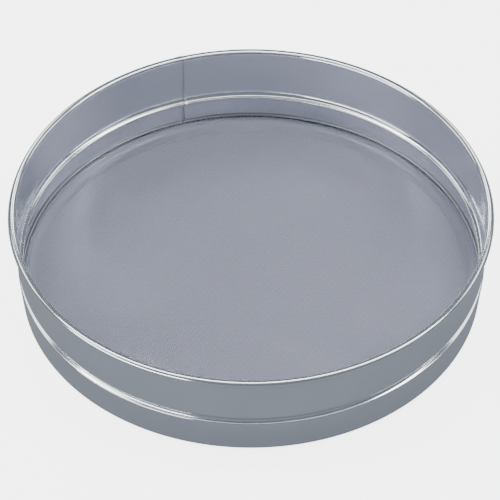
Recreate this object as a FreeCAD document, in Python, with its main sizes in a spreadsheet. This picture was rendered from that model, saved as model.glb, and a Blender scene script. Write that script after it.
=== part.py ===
import FreeCAD, Part
import math
import os

import Sketcher
from FreeCAD import Placement, Rotation, Vector

# Round soil sieve: a hoop of sheet with a wired rim, a pressed bead, a tapered skirt and a folded
# base hem, and woven wire cloth held down on the hem by a spring ring. Millimetres, +Z up, origin
# at the centre of the plane that the sieve stands on.

DIMENSIONS = [
    # alias, value, what it is
    ("rim_radius", 150.0, "outermost radius, at the middle of the rolled rim"),
    ("frame_height", 63.0, "base plane to the top of the rim"),
    ("sheet_gauge", 0.7, "thickness of the hoop's sheet"),
    ("rim_roll_radius", 2.4, "outer radius of the rolled rim's section"),
    ("rim_roll_end", 125.0, "degrees below horizontal at which the rim's rolled edge stops"),
    ("bead_depth", 3.3, "how far the bead is pressed in"),
    ("bead_radius", 0.6, "radius at the bottom of the bead's outside groove"),
    ("shoulder_upper", 5.0, "outside radius of the sheet above the groove"),
    ("shoulder_upper_level", 30.8, "height at which the upper wall starts to turn in"),
    ("shoulder_lower", 1.0, "outside radius of the edge below the groove"),
    ("shoulder_lower_level", 23.3, "height of that edge's centre"),
    ("skirt_foot_radius", 144.0, "outermost radius of the skirt's bottom bend"),
    ("foot_bend_radius", 2.1, "outer radius of the skirt's bottom bend"),
    ("seat_height", 8.6, "height of the ledge that carries the cloth, the top of the folded hem"),
    ("hem_inner_radius", 135.5, "innermost radius of the folded hem"),
    ("hem_tip_radius", 143.4, "radius at which the hem's free edge stops"),
    ("seam_angle", 108.4, "degrees round from +X to the middle of the lapped seam"),
    ("seam_width", 4.3, "width of the lap"),
    ("seam_step", 0.2, "how far the lap stands in from the wall"),
    ("seam_bottom", 31.4, "lap above the bead: lower end"),
    ("seam_top", 59.6, "lap above the bead: upper end"),
    ("seam_skirt_start", 1.0, "lap below the bead: distance down the skirt at which it starts"),
    ("seam_skirt_length", 10.8, "lap below the bead: length down the skirt"),
    ("core_wire_radius", 1.5, "radius of the wire inside the rim"),
    ("cloth_radius", 143.6, "outside of the cloth's bonded edge"),
    ("cloth_edge_inner", 142.6, "inside of the cloth's bonded edge"),
    ("wire_pitch", 1.0, "wire spacing: 0.6 mm openings between 0.4 mm wires"),
    ("wire_radius", 0.195, "radius of a wire"),
    ("wire_gap", 0.005, "clearance round a wire, so that the two layers stay apart"),
    ("weave_angle", 30.0, "degrees from +X to the warp wires"),
    ("ring_wire_radius", 0.75, "radius of the retaining ring's wire"),
    ("ring_radius", 143.25, "radius of the retaining ring's centre line"),
    ("ring_sweep", 359.6, "degrees round of the retaining ring, which is split"),
]

doc = FreeCAD.newDocument("soil_sieve")
sheet = doc.addObject("Spreadsheet::Sheet", "dims")
size = {}
for row, (alias, value, meaning) in enumerate(DIMENSIONS, start=1):
    sheet.set(f"A{row}", alias)
    sheet.set(f"B{row}", str(value))
    sheet.set(f"C{row}", meaning)
    sheet.setAlias(f"B{row}", alias)
    size[alias] = value
doc.recompute()

wall_in = size["rim_radius"] - 2 * size["rim_roll_radius"]
wall_out = wall_in + size["sheet_gauge"]
rim_level = size["frame_height"] - size["rim_roll_radius"]
gauge = size["sheet_gauge"]
WALL_OUT = "dims.rim_radius - 2 * dims.rim_roll_radius + dims.sheet_gauge"

# The hoop is one strip of sheet. This sketch is the section of its inner face, x the radius and y the
# height: from the free edge in the rim, down the wall, round the bead, down the skirt to the hem.
START, END, CENTRE = 1, 2, 3
section = doc.addObject("Sketcher::SketchObject", "sheet_section")
section.Placement = Placement(Vector(0, 0, 0), Rotation(Vector(1, 0, 0), 90))
section.Visibility = False


def line(x0, y0, x1, y1):
    return section.addGeometry(Part.LineSegment(Vector(x0, y0, 0), Vector(x1, y1, 0)), False)


def arc(x, y, radius, start, end):
    circle = Part.Circle(Vector(x, y, 0), Vector(0, 0, 1), radius)
    return section.addGeometry(Part.ArcOfCircle(circle, start, end), False)


def hold(*constraint):
    return section.addConstraint(Sketcher.Constraint(*constraint))


def dimension(name, formula, *constraint):
    section.renameConstraint(hold(*constraint), name)
    section.setExpression("Constraints." + name, formula)


def on_circle(x, y, radius, angle):
    return x + radius * math.cos(angle), y + radius * math.sin(angle)


quarter = math.pi / 2
roll = size["rim_roll_radius"]
roll_x = size["rim_radius"] - roll
rolled = math.radians(-size["rim_roll_end"])
upper = size["shoulder_upper"] - gauge
upper_x = wall_in - upper
upper_y = size["shoulder_upper_level"]
ridge = size["bead_radius"] + gauge
ridge_x = wall_out - size["bead_depth"] + size["bead_radius"]
ridge_y = upper_y - math.sqrt((upper + ridge) ** 2 - (ridge_x - upper_x) ** 2)
inward = math.atan2(ridge_y - upper_y, ridge_x - upper_x)
lower = size["shoulder_lower"] - gauge
lower_x = wall_out - size["shoulder_lower"]
lower_y = size["shoulder_lower_level"]
bearing = math.atan2(lower_y - ridge_y, lower_x - ridge_x)
ledge_facing = bearing - math.acos((ridge + lower) / math.dist((ridge_x, ridge_y), (lower_x, lower_y)))
foot = size["foot_bend_radius"] - gauge
foot_x = size["skirt_foot_radius"] - size["foot_bend_radius"]
foot_y = size["foot_bend_radius"]
bearing = math.atan2(foot_y - lower_y, foot_x - lower_x)
skirt_facing = bearing + math.acos((lower - foot) / math.dist((lower_x, lower_y), (foot_x, foot_y)))
hem_y = size["seat_height"] / 2
hem_x = size["hem_inner_radius"] + hem_y
hem = hem_y - gauge
tip_x = size["hem_tip_radius"]

rim_arc = arc(roll_x, rim_level, roll, rolled, math.pi)
wall = line(wall_in, rim_level, wall_in, upper_y)
upper_arc = arc(upper_x, upper_y, upper, inward, 0)
ridge_arc = arc(ridge_x, ridge_y, ridge, inward + math.pi, ledge_facing + 2 * math.pi)
ledge = line(*on_circle(ridge_x, ridge_y, ridge, ledge_facing),
             *on_circle(lower_x, lower_y, lower, ledge_facing + math.pi))
lower_arc = arc(lower_x, lower_y, lower, skirt_facing, ledge_facing + math.pi)
skirt = line(*on_circle(lower_x, lower_y, lower, skirt_facing),
             *on_circle(foot_x, foot_y, foot, skirt_facing))
foot_arc = arc(foot_x, foot_y, foot, -quarter, skirt_facing)
floor = line(foot_x, gauge, hem_x, gauge)
hem_arc = arc(hem_x, hem_y, hem, quarter, 3 * quarter)
ceiling = line(hem_x, hem_y + hem, tip_x, hem_y + hem)

for first, first_end, second, second_end in (
        (rim_arc, END, wall, START), (wall, END, upper_arc, END), (foot_arc, START, floor, START),
        (floor, END, hem_arc, END), (hem_arc, START, ceiling, START)):
    hold("Coincident", first, first_end, second, second_end)
for first, first_end, second, second_end in (
        (upper_arc, START, ridge_arc, START), (ridge_arc, END, ledge, START), (ledge, END, lower_arc, END),
        (lower_arc, START, skirt, START), (skirt, END, foot_arc, END)):
    hold("Tangent", first, first_end, second, second_end)
hold("Vertical", wall)
hold("Horizontal", floor)
hold("Horizontal", ceiling)
hold("Horizontal", rim_arc, CENTRE, rim_arc, END)
hold("Horizontal", upper_arc, CENTRE, upper_arc, END)
hold("Vertical", foot_arc, CENTRE, foot_arc, START)
hold("Vertical", hem_arc, CENTRE, hem_arc, END)
hold("Vertical", hem_arc, CENTRE, hem_arc, START)

dimension("rim_x", "dims.rim_radius - dims.rim_roll_radius", "DistanceX", -1, 1, rim_arc, CENTRE, roll_x)
dimension("rim_y", "dims.frame_height - dims.rim_roll_radius",
          "DistanceY", -1, 1, rim_arc, CENTRE, rim_level)
dimension("rim_roll", "dims.rim_roll_radius", "Radius", rim_arc, roll)
dimension("rim_edge", "dims.rim_roll_radius * cos(dims.rim_roll_end * 1 deg) * -1",
          "DistanceX", rim_arc, START, rim_arc, CENTRE, -roll * math.cos(rolled))
dimension("upper_y", "dims.shoulder_upper_level", "DistanceY", -1, 1, upper_arc, CENTRE, upper_y)
dimension("upper", "dims.shoulder_upper - dims.sheet_gauge", "Radius", upper_arc, upper)
dimension("ridge_x", WALL_OUT + " - dims.bead_depth + dims.bead_radius",
          "DistanceX", -1, 1, ridge_arc, CENTRE, ridge_x)
dimension("ridge", "dims.bead_radius + dims.sheet_gauge", "Radius", ridge_arc, ridge)
dimension("lower_x", WALL_OUT + " - dims.shoulder_lower", "DistanceX", -1, 1, lower_arc, CENTRE, lower_x)
dimension("lower_y", "dims.shoulder_lower_level", "DistanceY", -1, 1, lower_arc, CENTRE, lower_y)
dimension("lower", "dims.shoulder_lower - dims.sheet_gauge", "Radius", lower_arc, lower)
dimension("foot_x", "dims.skirt_foot_radius - dims.foot_bend_radius",
          "DistanceX", -1, 1, foot_arc, CENTRE, foot_x)
dimension("foot_y", "dims.foot_bend_radius", "DistanceY", -1, 1, foot_arc, CENTRE, foot_y)
dimension("foot", "dims.foot_bend_radius - dims.sheet_gauge", "Radius", foot_arc, foot)
dimension("hem_x", "dims.hem_inner_radius + dims.seat_height / 2", "DistanceX", -1, 1, hem_arc, CENTRE, hem_x)
dimension("hem", "dims.seat_height / 2 - dims.sheet_gauge", "Radius", hem_arc, hem)
dimension("hem_edge", "dims.hem_tip_radius", "DistanceX", -1, 1, ceiling, END, tip_x)
doc.recompute()

# The sheet's thickness is laid on the outside of that line, and the section is taken once round.
strip = doc.addObject("Part::Offset2D", "sheet_strip")
strip.Source = section
strip.Mode = "Skin"
strip.Fill = True
strip.setExpression("Value", "dims.sheet_gauge")
doc.recompute()
rolled_sheet = doc.addObject("Part::Revolution", "rolled_sheet")
rolled_sheet.Source = strip
rolled_sheet.Axis = Vector(0, 0, 1)
rolled_sheet.Base = Vector(0, 0, 0)
rolled_sheet.Angle = 360.0
rolled_sheet.Solid = True



def seam_lap(name, facing, x, y, height, height_formula):
    """The sheet's overlapped end, a little proud of an inner face that faces the given way."""
    turned = Rotation(Vector(0, 0, 1), size["seam_angle"])
    tilted = turned.multiply(Rotation(Vector(0, 1, 0), -math.degrees(facing)))
    corner = Vector(*on_circle(x, y, -size["seam_step"], facing), 0)
    corner = turned.multVec(Vector(corner.x, -size["seam_width"] / 2, corner.y))
    lap = doc.addObject("Part::Box", name)
    lap.Placement = Placement(corner, tilted)
    lap.Height = height
    lap.setExpression("Length", "dims.seam_step + dims.sheet_gauge / 2")
    lap.setExpression("Width", "dims.seam_width")
    lap.setExpression("Height", height_formula)
    return lap


wall_lap = seam_lap("seam_lap_wall", 0, wall_in, size["seam_bottom"],
                    size["seam_top"] - size["seam_bottom"], "dims.seam_top - dims.seam_bottom")
below_edge = size["seam_skirt_start"] + size["seam_skirt_length"]
lap_x, lap_y = on_circle(lower_x, lower_y, lower, skirt_facing)
lap_x, lap_y = on_circle(lap_x, lap_y, below_edge, skirt_facing - quarter)
skirt_lap = seam_lap("seam_lap_skirt", skirt_facing, lap_x, lap_y,
                     size["seam_skirt_length"], "dims.seam_skirt_length")
hoop = doc.addObject("Part::MultiFuse", "frame_hoop")
hoop.Label = "frame_hoop"
hoop.Shapes = [rolled_sheet, wall_lap, skirt_lap]


def wire_ring(name, radius, formula, wire, wire_formula, level, level_formula):
    ring = doc.addObject("Part::Torus", name)
    ring.Label = name
    ring.Radius1 = radius
    ring.Radius2 = wire
    ring.Placement = Placement(Vector(0, 0, level), Rotation())
    ring.setExpression("Radius1", formula)
    ring.setExpression("Radius2", wire_formula)
    ring.setExpression("Placement.Base.z", level_formula)
    return ring


# Wire that the rim is rolled round.
core = wire_ring("rim_core_wire", roll_x, "dims.rim_radius - dims.rim_roll_radius",
                 size["core_wire_radius"], "dims.core_wire_radius",
                 rim_level, "dims.frame_height - dims.rim_roll_radius")

# Split spring ring that holds the cloth down on the hem, its ends meeting at the seam.
cloth_top = size["seat_height"] + 4 * (size["wire_radius"] + size["wire_gap"])
retainer = wire_ring("retaining_ring", size["ring_radius"], "dims.ring_radius",
                     size["ring_wire_radius"], "dims.ring_wire_radius",
                     cloth_top + size["ring_wire_radius"],
                     "dims.seat_height + 4 * (dims.wire_radius + dims.wire_gap) + dims.ring_wire_radius")
retainer.Angle3 = size["ring_sweep"]
retainer.setExpression("Angle3", "dims.ring_sweep")
half_gap = (360 - size["ring_sweep"]) / 2
retainer.Placement = Placement(Vector(0, 0, cloth_top + size["ring_wire_radius"]),
                               Rotation(Vector(0, 0, 1), size["seam_angle"] + half_gap))


def wire_layer(level, angle):
    """Parallel wires across the hoop, each ending inside the bonded edge."""
    reach = (size["cloth_edge_inner"] + size["cloth_radius"]) / 2
    count = int((size["cloth_edge_inner"] - 1.0) / size["wire_pitch"])
    across = Rotation(Vector(0, 0, 1), angle)
    along = across.multVec(Vector(1, 0, 0))
    wires = []
    for step in range(-count, count + 1):
        offset = step * size["wire_pitch"]
        half = math.sqrt(reach**2 - offset**2)
        start = across.multVec(Vector(-half, offset, level))
        wires.append(Part.makeCylinder(size["wire_radius"], 2 * half, start, along))
    return wires


def wire_cloth():
    """Warp and weft as two layers of straight wires, joined by the bonded edge under the ring."""
    seat_level = size["seat_height"]
    layer = 2 * (size["wire_radius"] + size["wire_gap"])
    edge = Part.makeCylinder(size["cloth_radius"], 2 * layer, Vector(0, 0, seat_level))
    edge = edge.cut(Part.makeCylinder(size["cloth_edge_inner"], 2 * layer, Vector(0, 0, seat_level)))
    warp = wire_layer(seat_level + layer / 2, size["weave_angle"])
    weft = wire_layer(seat_level + 3 * layer / 2, size["weave_angle"] + 90)
    return edge.fuse(warp + weft)


cloth = doc.addObject("Part::Feature", "woven_mesh")
cloth.Label = "woven_mesh"
cloth.Shape = wire_cloth()
cloth.Placement = Placement()

doc.recompute()
parts = [hoop, core, cloth, retainer]
for item in doc.Objects:
    if "Invalid" in item.State or "Error" in item.State:
        raise ValueError(f"{item.Name} did not build: {item.State}")
os.makedirs("parts", exist_ok=True)
for item in parts:
    shape = item.Shape
    if shape.isNull() or not shape.isValid() or not shape.Solids:
        raise ValueError(f"{item.Label} is not a sound solid")
    shape.exportStep(f"parts/{item.Label}.step")
    box = shape.BoundBox
    print(f"{item.Label}: {len(shape.Solids)} solid, {shape.Volume:.1f} mm3, "
          f"z {box.ZMin:.2f} to {box.ZMax:.2f}, x {box.XMin:.2f} to {box.XMax:.2f}")
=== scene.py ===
import math

import bpy
import numpy as np
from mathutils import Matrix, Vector


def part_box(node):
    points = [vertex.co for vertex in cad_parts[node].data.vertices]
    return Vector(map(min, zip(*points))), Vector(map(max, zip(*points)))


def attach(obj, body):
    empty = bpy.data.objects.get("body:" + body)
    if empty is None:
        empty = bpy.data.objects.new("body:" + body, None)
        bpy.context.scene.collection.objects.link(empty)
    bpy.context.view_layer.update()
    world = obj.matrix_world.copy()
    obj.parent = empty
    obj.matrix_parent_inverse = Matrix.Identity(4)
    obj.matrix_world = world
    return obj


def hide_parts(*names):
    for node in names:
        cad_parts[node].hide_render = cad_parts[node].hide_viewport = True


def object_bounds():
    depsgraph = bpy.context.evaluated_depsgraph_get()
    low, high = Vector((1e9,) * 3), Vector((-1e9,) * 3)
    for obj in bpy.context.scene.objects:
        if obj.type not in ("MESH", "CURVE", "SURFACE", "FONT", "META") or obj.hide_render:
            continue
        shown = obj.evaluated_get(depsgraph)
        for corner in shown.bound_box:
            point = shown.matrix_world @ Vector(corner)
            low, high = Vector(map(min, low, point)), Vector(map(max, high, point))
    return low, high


# Round soil sieve in polished stainless steel. The hoop, its ring and the woven cloth are made
# here as smooth meshes over the CAD model's nodes. Metres throughout, +Z up. The angles named
# below are in degrees unless they say radians, and the seam's run from +X towards +Y.

MM = 0.001
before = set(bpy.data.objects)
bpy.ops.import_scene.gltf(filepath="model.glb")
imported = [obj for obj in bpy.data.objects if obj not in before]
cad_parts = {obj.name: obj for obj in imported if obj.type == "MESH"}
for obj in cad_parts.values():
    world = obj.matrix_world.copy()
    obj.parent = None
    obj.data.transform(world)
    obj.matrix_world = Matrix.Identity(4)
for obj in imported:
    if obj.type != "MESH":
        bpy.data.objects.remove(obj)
cad_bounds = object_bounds()

# --- Sizes, from the CAD frame and the sheet's own construction ---------------------------------

hoop_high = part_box("frame_hoop")[1]
cloth_low, cloth_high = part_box("woven_mesh")
ring_low, ring_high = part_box("retaining_ring")

RIM_RADIUS = max(cad_bounds[1][0], cad_bounds[1][1])
HEIGHT = hoop_high[2]
GAUGE = 0.7 * MM
ROLL = 2.4 * MM                             # outer radius of the rolled rim
RIM_TIP = 125                               # how far below outward the roll's free edge ends
WALL_OUT = RIM_RADIUS - 2 * ROLL + GAUGE    # outer face of the upper wall
BEAD_DEPTH = 3.3 * MM
BEAD_RADIUS = 0.6 * MM
SHOULDER_UPPER = 5.0 * MM                   # radius of the wall's turn into the bead
SHOULDER_UPPER_LEVEL = 30.8 * MM
SHOULDER_LOWER = 1.0 * MM                   # radius of the bead's turn into the skirt
SHOULDER_LOWER_LEVEL = 23.3 * MM
FOOT_RADIUS = 144.0 * MM
FOOT_BEND = 2.1 * MM
SEAT = cloth_low[2]                         # the hem's top, which the cloth lies on
HEM_INNER = 135.5 * MM
HEM_TIP = 143.4 * MM                        # the hem's free edge, back near the wall

SEAM_EDGE = 107.5                           # the lapped end of the strip
SEAM_FADE = 109.4                           # where the lap is sinking back into the wall
SEAM_SINK = (SEAM_FADE - 0.4, SEAM_FADE + 0.5)
SEAM_STEP = 0.2 * MM
SEAM_RISE = 0.06                            # angle over which the lap steps up
STAIN_WIDTH_SKIRT = 0.9                     # how far behind the edge the dull stain spreads
STAIN_WIDTH_WALL = 0.45
STAIN_FADE = 0.4                            # share of the stain lost towards the rim
HOOP_SECTIONS = 384

PITCH = 1.0 * MM
WIRE = (cloth_high[2] - cloth_low[2]) / 4   # radius of a cloth wire
CLOTH_LEVEL = (cloth_high[2] + cloth_low[2]) / 2
WEAVE_ANGLE = 30
WIRE_REACH = cloth_high[0] - 0.2 * MM
WIRE_GROUPS = 4

RING_WIRE = (ring_high[2] - ring_low[2]) / 2
RING_LEVEL = (ring_high[2] + ring_low[2]) / 2
RING_RADIUS = 143.25 * MM
RING_SPLIT = 0.4
RING_START = SEAM_EDGE + 0.9 + RING_SPLIT / 2
RING_STATIONS = 400
RING_SIDES = 14


# --- Materials ----------------------------------------------------------------------------------

DULL_TONE = (0.40, 0.41, 0.43)
DULL_ROUGHNESS = 0.2                        # added where the seam is fully dull and the hem fully darkened
GRAIN_STRETCH = (9.0, 2600.0, 1.0)          # long round the hoop and fine across the strip
GRAIN_DEPTH = 0.02 * MM


def new_material(name, metallic=1.0):
    """A new material, with its node tree and its shader."""
    material = bpy.data.materials.new(name)
    material.use_nodes = True
    shader = material.node_tree.nodes["Principled BSDF"]
    shader.inputs["Metallic"].default_value = metallic
    return material, material.node_tree, shader


def add(tree, kind, **inputs):
    """A new node, with its inputs set by name."""
    node = tree.nodes.new(kind)
    for name, value in inputs.items():
        node.inputs[name.replace("_", " ")].default_value = value
    return node


def ramp(tree, fac, low, high, colour_low, colour_high):
    """One colour below low and another above high, blended between."""
    node = tree.nodes.new("ShaderNodeValToRGB")
    node.color_ramp.elements[0].position = low
    node.color_ramp.elements[0].color = (*colour_low, 1)
    node.color_ramp.elements[1].position = high
    node.color_ramp.elements[1].color = (*colour_high, 1)
    tree.links.new(fac, node.inputs["Fac"])
    return node


def spread(tree, fac, low, high, to_low, to_high):
    """The value's range from low to high, mapped to another range."""
    node = add(tree, "ShaderNodeMapRange",
               From_Min=low, From_Max=high, To_Min=to_low, To_Max=to_high)
    tree.links.new(fac, node.inputs["Value"])
    return node


def polished_sheet():
    """Bright rolled sheet: fine grain round the hoop, cloudy polish, dull in the seam, darker and
    rougher in the hem.
    """
    material, tree, shader = new_material("polished_sheet")
    link = tree.links.new
    place = tree.nodes.new("ShaderNodeUVMap")
    place.uv_map = "sheet"
    clouds = add(tree, "ShaderNodeTexNoise", Scale=28.0, Detail=5.0, Roughness=0.55)
    solid = tree.nodes.new("ShaderNodeTexCoord")
    link(solid.outputs["Object"], clouds.inputs["Vector"])
    stretch = add(tree, "ShaderNodeMapping", Scale=GRAIN_STRETCH)
    link(place.outputs["UV"], stretch.inputs["Vector"])
    grain = add(tree, "ShaderNodeTexNoise", Scale=1.0, Detail=3.0, Roughness=0.6)
    link(stretch.outputs["Vector"], grain.inputs["Vector"])
    seam = tree.nodes.new("ShaderNodeAttribute")
    seam.attribute_name = "seam"

    tone = ramp(tree, clouds.outputs["Fac"], 0.3, 0.75, (0.77, 0.79, 0.83), (0.82, 0.84, 0.87))
    dull = tree.nodes.new("ShaderNodeMix")
    dull.data_type = "RGBA"
    dull.inputs["B"].default_value = (*DULL_TONE, 1)
    link(seam.outputs["Fac"], dull.inputs["Factor"])
    link(tone.outputs["Color"], dull.inputs["A"])
    link(dull.outputs["Result"], shader.inputs["Base Color"])

    haze = spread(tree, clouds.outputs["Fac"], 0.25, 0.8, 0.08, 0.13)
    streak = spread(tree, grain.outputs["Fac"], 0.3, 0.8, -0.01, 0.03)
    total = tree.nodes.new("ShaderNodeMath")
    link(haze.outputs["Result"], total.inputs[0])
    link(streak.outputs["Result"], total.inputs[1])
    rough = tree.nodes.new("ShaderNodeMath")
    rough.operation = "MULTIPLY_ADD"
    rough.inputs[1].default_value = DULL_ROUGHNESS
    link(seam.outputs["Fac"], rough.inputs[0])
    link(total.outputs["Value"], rough.inputs[2])
    link(rough.outputs["Value"], shader.inputs["Roughness"])

    bump = add(tree, "ShaderNodeBump", Strength=0.06, Distance=GRAIN_DEPTH)
    link(grain.outputs["Fac"], bump.inputs["Height"])
    link(bump.outputs["Normal"], shader.inputs["Normal"])
    return material


def bright_wire(name, colour, low, high, scale):
    """Drawn wire: one colour, with roughness that varies along it."""
    material, tree, shader = new_material(name)
    shader.inputs["Base Color"].default_value = (*colour, 1)
    place = tree.nodes.new("ShaderNodeTexCoord")
    noise = add(tree, "ShaderNodeTexNoise", Scale=scale, Detail=3.0, Roughness=0.5)
    tree.links.new(place.outputs["Object"], noise.inputs["Vector"])
    rough = spread(tree, noise.outputs["Fac"], 0.3, 0.7, low, high)
    tree.links.new(rough.outputs["Result"], shader.inputs["Roughness"])
    return material


sheet_steel = polished_sheet()
mesh_steel = bright_wire("mesh_wire", (0.59, 0.605, 0.73), 0.30, 0.42, 60.0)
# The ring's wire is coloured darker than the cloth's: painted shade for the corner by the wall that
# it lies in.
ring_steel_painted_shade = bright_wire("ring_wire", (0.32, 0.325, 0.35), 0.32, 0.44, 400.0)
core_steel = bright_wire("core_wire", (0.42, 0.41, 0.40), 0.4, 0.6, 900.0)


# --- Meshes -------------------------------------------------------------------------------------

def piece_from(name, vertices, quads, material, slot, *nodes):
    """A smooth mesh that rides the root body in place of the CAD nodes."""
    mesh = bpy.data.meshes.new(name)
    vertices = np.asarray(vertices, np.float32)
    quads = np.asarray(quads, np.int32)
    mesh.vertices.add(len(vertices))
    mesh.vertices.foreach_set("co", vertices.ravel())
    mesh.loops.add(4 * len(quads))
    mesh.loops.foreach_set("vertex_index", quads.ravel())
    mesh.polygons.add(len(quads))
    mesh.polygons.foreach_set("loop_start", np.arange(0, 4 * len(quads), 4, dtype=np.int32))
    mesh.polygons.foreach_set("use_smooth", np.ones(len(quads), bool))
    mesh.update(calc_edges=True)
    mesh.materials.append(material)
    piece = bpy.data.objects.new(name, mesh)
    bpy.context.scene.collection.objects.link(piece)
    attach(piece, "root")
    if nodes:
        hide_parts(*nodes)
    return piece


def arc(x, z, radius, start, end, step=9.0):
    """Points on a circle from start to end degrees, both ends included."""
    count = max(2, math.ceil(abs(end - start) / step))
    turns = [math.radians(start + (end - start) * i / count) for i in range(count + 1)]
    return [(x + radius * math.cos(t), z + radius * math.sin(t)) for t in turns]


def run_of(*arcs, step=4.5 * MM):
    """The arcs one after another, with the straight stretches between them divided up."""
    touching = 0.001 * MM
    points = list(arcs[0])
    for following in arcs[1:]:
        (x0, z0), (x1, z1) = points[-1], following[0]
        gap = math.dist((x0, z0), (x1, z1))
        count = max(1, round(gap / step))
        points += [(x0 + (x1 - x0) * i / count, z0 + (z1 - z0) * i / count)
                   for i in range(1, count)]
        points += following if gap > touching else following[1:]
    return points


def sheet_face(out):
    """The strip's section from rim to hem, on the face that lies `out` from its inner face."""
    upper_x = WALL_OUT - SHOULDER_UPPER
    ridge_x = WALL_OUT - BEAD_DEPTH + BEAD_RADIUS
    reach = SHOULDER_UPPER + BEAD_RADIUS
    ridge_z = SHOULDER_UPPER_LEVEL - math.sqrt(reach**2 - (ridge_x - upper_x) ** 2)
    inward = math.degrees(math.atan2(ridge_z - SHOULDER_UPPER_LEVEL, ridge_x - upper_x))
    lower_x, lower_z = WALL_OUT - SHOULDER_LOWER, SHOULDER_LOWER_LEVEL
    foot_x = FOOT_RADIUS - FOOT_BEND
    apart = math.dist((ridge_x, ridge_z), (lower_x, lower_z))
    ledge = math.degrees(math.atan2(lower_z - ridge_z, lower_x - ridge_x)
                         - math.acos((BEAD_RADIUS + SHOULDER_LOWER) / apart))
    apart = math.dist((lower_x, lower_z), (foot_x, FOOT_BEND))
    skirt = math.degrees(math.atan2(FOOT_BEND - lower_z, foot_x - lower_x)
                         + math.acos((SHOULDER_LOWER - FOOT_BEND) / apart))
    hem_z = SEAT / 2
    hem_x = HEM_INNER + hem_z
    back = GAUGE - out
    tip_z = 2 * hem_z - back
    return run_of(
        arc(RIM_RADIUS - ROLL, HEIGHT - ROLL, ROLL - out, -RIM_TIP, 180, 9),
        arc(upper_x, SHOULDER_UPPER_LEVEL, SHOULDER_UPPER - back, 0, inward, 6),
        arc(ridge_x, ridge_z, BEAD_RADIUS + back, inward + 180, ledge + 360, 10),
        arc(lower_x, lower_z, SHOULDER_LOWER - back, ledge + 180, skirt, 9),
        arc(foot_x, FOOT_BEND, FOOT_BEND - back, skirt, -90, 9),
        arc(hem_x, hem_z, hem_z - back, -90, -270, 12),
        [(HEM_TIP, tip_z)])


def hoop_section():
    """The sheet's closed outline, and how many of its points are on the inner face."""
    inner, outer = sheet_face(0), sheet_face(GAUGE)
    edge = GAUGE / 2
    middle = ROLL - edge
    tip = math.radians(-RIM_TIP)
    hem_edge = arc(HEM_TIP, SEAT - edge, edge, -90, 90, 30)[1:-1]
    rim_edge = arc(RIM_RADIUS - ROLL + middle * math.cos(tip),
                   HEIGHT - ROLL + middle * math.sin(tip),
                   edge, 180 - RIM_TIP, 360 - RIM_TIP, 30)[1:-1]
    return inner + hem_edge + outer[::-1] + rim_edge, len(inner)


def outline_lengths(points):
    """Distance along the closed outline at each point, and at the first point again."""
    steps = [math.dist(a, b) for a, b in zip(points, points[1:] + points[:1])]
    return np.concatenate([[0.0], np.cumsum(steps)])


def step_up(value, start, end):
    """0 up to start and 1 from end, with a soft rise between."""
    share = np.clip((value - start) / (end - start), 0, 1)
    return share * share * (3 - 2 * share)


def hoop_turns():
    """Angles of the hoop's sections: evenly spaced, and closer together at the seam."""
    turns = set(np.linspace(0, 360, HOOP_SECTIONS, endpoint=False))
    turns |= {SEAM_EDGE - SEAM_RISE}
    turns |= {SEAM_EDGE + behind for behind in (0, 0.2, 0.4, 0.7, 1.1)}
    turns |= {SEAM_SINK[0], SEAM_FADE, SEAM_SINK[1]}
    return np.array(sorted(turns))


def belly_of(angle, height):
    """Slight waves in the wall and the bead, which die out in the skirt and under the rim."""
    waves = 0.07 * np.sin(3 * angle + 0.7) + 0.05 * np.sin(5 * angle + 2.1)
    waves = waves + 0.03 * np.sin(11 * angle)
    off_the_foot = step_up(height, 12 * MM, 22 * MM)
    off_the_rim = 1 - step_up(height, 44 * MM, 56 * MM)
    return waves * MM * off_the_foot * off_the_rim


def dullness(turns, section_xz, on_inside):
    """1 where the steel is darker and rougher: at the seam's inner edge, less so near the rim, and
    all over the hem's fold.
    """
    height = section_xz[None, :, 1]
    behind = np.maximum(turns - SEAM_EDGE, 0)[:, None]
    width = np.where(height < SHOULDER_LOWER_LEVEL, STAIN_WIDTH_SKIRT, STAIN_WIDTH_WALL)
    stain = (turns >= SEAM_EDGE)[:, None] * np.exp(-(behind / width) ** 2) * on_inside[None, :]
    stain = stain * (1 - STAIN_FADE * step_up(height, 0.5 * HEIGHT, 0.9 * HEIGHT))
    # The hem's fold, under the cloth, is made darker and rougher all over.
    fold = step_up(HEM_TIP - section_xz[:, 0], 1.0 * MM, 2.5 * MM)[None, :]
    return np.maximum(stain, fold)


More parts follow.
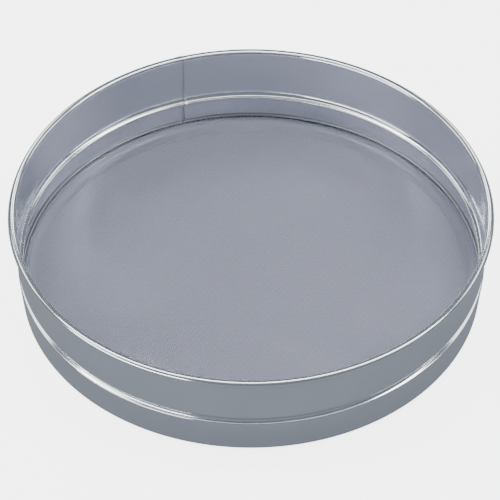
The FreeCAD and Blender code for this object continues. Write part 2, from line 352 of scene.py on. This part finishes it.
def make_hoop():
    """The bent sheet, all round, with its lapped seam raised on the inner face."""
    section, inside_count = hoop_section()
    section_xz = np.array(section)
    tangents = np.roll(section_xz, -1, axis=0) - np.roll(section_xz, 1, axis=0)
    normals = np.stack([tangents[:, 1], -tangents[:, 0]], 1)
    normals /= np.linalg.norm(normals, axis=1, keepdims=True)

    turns = hoop_turns()
    lap = step_up(turns, SEAM_EDGE - SEAM_RISE, SEAM_EDGE)
    lap = lap * (1 - step_up(turns, *SEAM_SINK))
    on_inside = (np.arange(len(section)) < inside_count).astype(float)

    angle = np.radians(turns)[:, None]
    belly = belly_of(angle, section_xz[None, :, 1])
    shift = SEAM_STEP * lap[:, None] * on_inside[None, :]
    radius = section_xz[None, :, 0] + belly + shift * normals[None, :, 0]
    level = section_xz[None, :, 1] + shift * normals[None, :, 1]
    level = np.minimum(level, HEIGHT)

    vertices = np.stack([radius * np.cos(angle), radius * np.sin(angle), level + 0 * angle], -1)
    rows, columns = len(turns), len(section)
    i, j = np.meshgrid(np.arange(rows), np.arange(columns), indexing="ij")
    right, up = (i + 1) % rows, (j + 1) % columns
    quads = np.stack([i * columns + j, right * columns + j,
                      right * columns + up, i * columns + up], -1)
    hoop = piece_from("hoop_sheet", vertices.reshape(-1, 3), quads.reshape(-1, 4), sheet_steel,
                      "polished_sheet", "frame_hoop")

    mark = hoop.data.attributes.new("seam", "FLOAT", "POINT")
    dull = dullness(turns, section_xz, on_inside)
    mark.data.foreach_set("value", dull.ravel().astype(np.float32))
    lengths = outline_lengths(section)
    around = np.append(np.radians(turns), 2 * math.pi) * WALL_OUT
    u0, u1 = around[i], around[i + 1]
    v0, v1 = lengths[j], lengths[j + 1]
    corners = np.stack([np.stack([u0, v0], -1), np.stack([u1, v0], -1),
                        np.stack([u1, v1], -1), np.stack([u0, v1], -1)], -2)
    layer = hoop.data.uv_layers.new(name="sheet")
    layer.data.foreach_set("uv", corners.ravel().astype(np.float32))


def make_ring():
    """Split ring of round wire in the corner above the cloth, its cut ends rounded off."""
    turns = np.linspace(RING_START, RING_START + 360 - RING_SPLIT, RING_STATIONS)
    sides = RING_SIDES
    reach = math.degrees(RING_WIRE * 0.5 / RING_RADIUS)
    dome = [(0.0, 0.05), (0.35, 0.75), (0.8, 0.97)]    # how far back, and how much of the wire
    ends = [(turns[0] - reach * (1 - back), size) for back, size in dome]
    ends_after = [(turns[-1] + (turns[0] - turn), size) for turn, size in reversed(ends)]
    stations = ends + [(turn, 1.0) for turn in turns] + ends_after
    vertices = []
    for turn, size in stations:
        angle = math.radians(turn)
        for side in range(sides):
            tilt = 2 * math.pi * side / sides
            radius = RING_RADIUS + size * RING_WIRE * math.cos(tilt)
            vertices.append((radius * math.cos(angle), radius * math.sin(angle),
                             RING_LEVEL + size * RING_WIRE * math.sin(tilt)))
    quads = []
    for row in range(len(stations) - 1):
        for side in range(sides):
            after = (side + 1) % sides
            quads.append((row * sides + side, (row + 1) * sides + side,
                          (row + 1) * sides + after, row * sides + after))
    for row, flip in ((0, False), (len(stations) - 1, True)):
        for side in range(0, sides // 2 - 1):
            cap = [row * sides + k for k in (side, side + 1, sides - side - 2, sides - side - 1)]
            quads.append(tuple(cap[::-1]) if flip else tuple(cap))
    piece_from("spring_ring", vertices, quads, ring_steel_painted_shade, "ring_wire", "retaining_ring")


def wire_strip(offsets, angle, phase):
    """Tubes along one direction of the weave, each rising and dipping at every crossing."""
    along = Vector((math.cos(angle), math.sin(angle)))
    across = Vector((-math.sin(angle), math.cos(angle)))
    sides = ((0, 1), (1, 0), (0, -1), (-1, 0))
    vertices, quads, base = [], [], 0
    for number in offsets:
        offset = number * PITCH
        crossings = int(math.sqrt(WIRE_REACH**2 - offset**2) / PITCH)
        steps = np.arange(-crossings, crossings + 1)
        wave = WIRE * np.where((steps + number + phase) % 2 == 0, 1.0, -1.0)
        x = steps * PITCH
        rings = np.empty((len(steps), 4, 3))
        for corner, (side, up) in enumerate(sides):
            reach = offset + side * WIRE
            rings[:, corner, 0] = x * along.x + reach * across.x
            rings[:, corner, 1] = x * along.y + reach * across.y
            rings[:, corner, 2] = CLOTH_LEVEL + wave + up * WIRE
        vertices.append(rings.reshape(-1, 3))
        row = base + 4 * np.arange(len(steps) - 1)[:, None]
        corner = np.arange(4)[None, :]
        after = (corner + 1) % 4
        tube = np.stack([row + corner, row + 4 + corner, row + 4 + after, row + after], -1)
        last = base + 4 * (len(steps) - 1)
        ends = [(base, base + 1, base + 2, base + 3), (last + 3, last + 2, last + 1, last)]
        quads += [tube.reshape(-1, 4), np.array(ends)]
        base += 4 * len(steps)
    return np.concatenate(vertices), np.concatenate(quads)


def make_cloth():
    """Plain-woven wire cloth, warp and weft, in a few groups of neighbouring wires."""
    count = int((WIRE_REACH - 1 * MM) / PITCH)
    numbers = np.arange(-count, count + 1)
    for name, turned, phase in (("warp", 0, 0), ("weft", 90, 1)):
        angle = math.radians(WEAVE_ANGLE + turned)
        for group, offsets in enumerate(np.array_split(numbers, WIRE_GROUPS), start=1):
            vertices, quads = wire_strip([int(n) for n in offsets], angle, phase)
            piece_from(f"mesh_{name}_{group}", vertices, quads, mesh_steel, "mesh_wire",
                       "woven_mesh")


make_hoop()
make_ring()
make_cloth()
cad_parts["rim_core_wire"].data.materials.clear()
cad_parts["rim_core_wire"].data.materials.append(core_steel)


# --- Studio -------------------------------------------------------------------------------------

STAGE_SIZE = 8.0
FLOOR_LEVEL = -0.3 * MM
CARD_LEVEL = -0.2 * MM
DISC_LEVEL = 0.05 * MM
DISC_RADIUS = 138.5 * MM                    # ends under the hem, inside the ring it stands on
DISC_CORNERS = 96

COOL = (0.90, 0.95, 1.0)
SKY = (0.84, 0.91, 1.0)
SKY_STRENGTH = 0.28

# In rim radii from the middle of the base.
CAMERA_PLACE = Vector((-0.004, -9.457, 9.4695))
CAMERA_DIP = 0.7769                         # radians below level
CAMERA_LENS = 229.1
CAMERA_SENSOR = 36


def flat_stage(name, corners, material):
    """A flat stage piece inside the given corners."""
    mesh = bpy.data.meshes.new(name)
    mesh.from_pydata(corners, [], [tuple(range(len(corners)))])
    mesh.materials.append(material)
    made = bpy.data.objects.new(name, mesh)
    bpy.context.scene.collection.objects.link(made)
    return made


def stage_square(name, level, material):
    half = STAGE_SIZE / 2
    corners = [(-half, -half), (half, -half), (half, half), (-half, half)]
    return flat_stage(name, [(x, y, level) for x, y in corners], material)


def matt(name, tone, glow=0.0):
    """Paper; glow is light of its own, so that the sieve's shadow on it stays soft."""
    material, _, shader = new_material(name, metallic=0.0)
    shader.inputs["Base Color"].default_value = (*tone, 1)
    shader.inputs["Roughness"].default_value = 0.9
    shader.inputs["Emission Color"].default_value = (*tone, 1)
    shader.inputs["Emission Strength"].default_value = glow
    return material


# The camera sees the pale floor, and the steel's reflections see a grey card over it. The card's
# glow is painted light: it keeps the floor seen in the steel an even grey, also where the sieve's
# shadow falls.
floor_paper = matt("floor_paper", (0.95, 0.95, 0.95), glow=4.2)
floor = stage_square("floor", FLOOR_LEVEL, floor_paper)
floor.visible_glossy = False
card_painted_glow = matt("card_painted_glow", (0.071, 0.077, 0.087), glow=2.9)
card = stage_square("grey_card", CARD_LEVEL, card_painted_glow)
card.visible_camera = False
card.visible_diffuse = False
card.visible_shadow = False

# A dark disc under the cloth is a painted shadow: it stands in for the sieve's shadow on the
# glowing floor, and keeps the floor from shining through the cloth's openings.
disc_edge = [(DISC_RADIUS * math.cos(t), DISC_RADIUS * math.sin(t), DISC_LEVEL)
             for t in np.linspace(0, 2 * math.pi, DISC_CORNERS, endpoint=False)]
flat_stage("painted_shadow_disc", disc_edge, matt("painted_shadow_grey", (0.22, 0.225, 0.24)))


def softbox(name, centre, size, power, aim=(0, 0, 0.02), tint=(1, 1, 1)):
    """A rectangular lamp at centre, turned towards aim, with its power in watts."""
    light = bpy.data.lights.new(name, "AREA")
    light.shape = "RECTANGLE"
    light.size, light.size_y = size
    light.energy = power
    light.color = tint
    lamp = bpy.data.objects.new(name, light)
    lamp.location = centre
    lamp.rotation_euler = (Vector(aim) - Vector(centre)).to_track_quat("-Z", "Y").to_euler()
    bpy.context.scene.collection.objects.link(lamp)


softbox("top_box", (0, 0.19, 2.0), (5.0, 0.40), 56)
softbox("front_strip", (0, -0.33, 1.2), (3.4, 0.16), 6)
softbox("front_left_box", (-1.10, -0.92, 0.24), (1.4, 0.36), 13)
softbox("back_left_box", (-0.36, 1.0, 0.85), (0.22, 0.32), 1.8)
softbox("back_right_box", (0.36, 1.0, 0.85), (0.22, 0.32), 1.8, tint=COOL)
softbox("left_box", (-0.89, 0.415, 0.69), (0.50, 0.40), 1.7)
softbox("right_box", (0.89, 0.415, 0.69), (0.50, 0.40), 1.7, tint=COOL)

world = bpy.data.worlds.new("studio")
world.use_nodes = True
world.node_tree.nodes["Background"].inputs["Color"].default_value = (*SKY, 1)
world.node_tree.nodes["Background"].inputs["Strength"].default_value = SKY_STRENGTH
bpy.context.scene.world = world

# The camera looks along +Y and down, with its right along +X.
camera_data = bpy.data.cameras.new("camera")
camera_data.lens = CAMERA_LENS
camera_data.sensor_width = CAMERA_SENSOR
camera_data.clip_end = 50
camera = bpy.data.objects.new("camera", camera_data)
camera.location = CAMERA_PLACE * RIM_RADIUS
camera.rotation_euler = (math.pi / 2 - CAMERA_DIP, 0, 0)
bpy.context.scene.collection.objects.link(camera)
bpy.context.scene.camera = camera
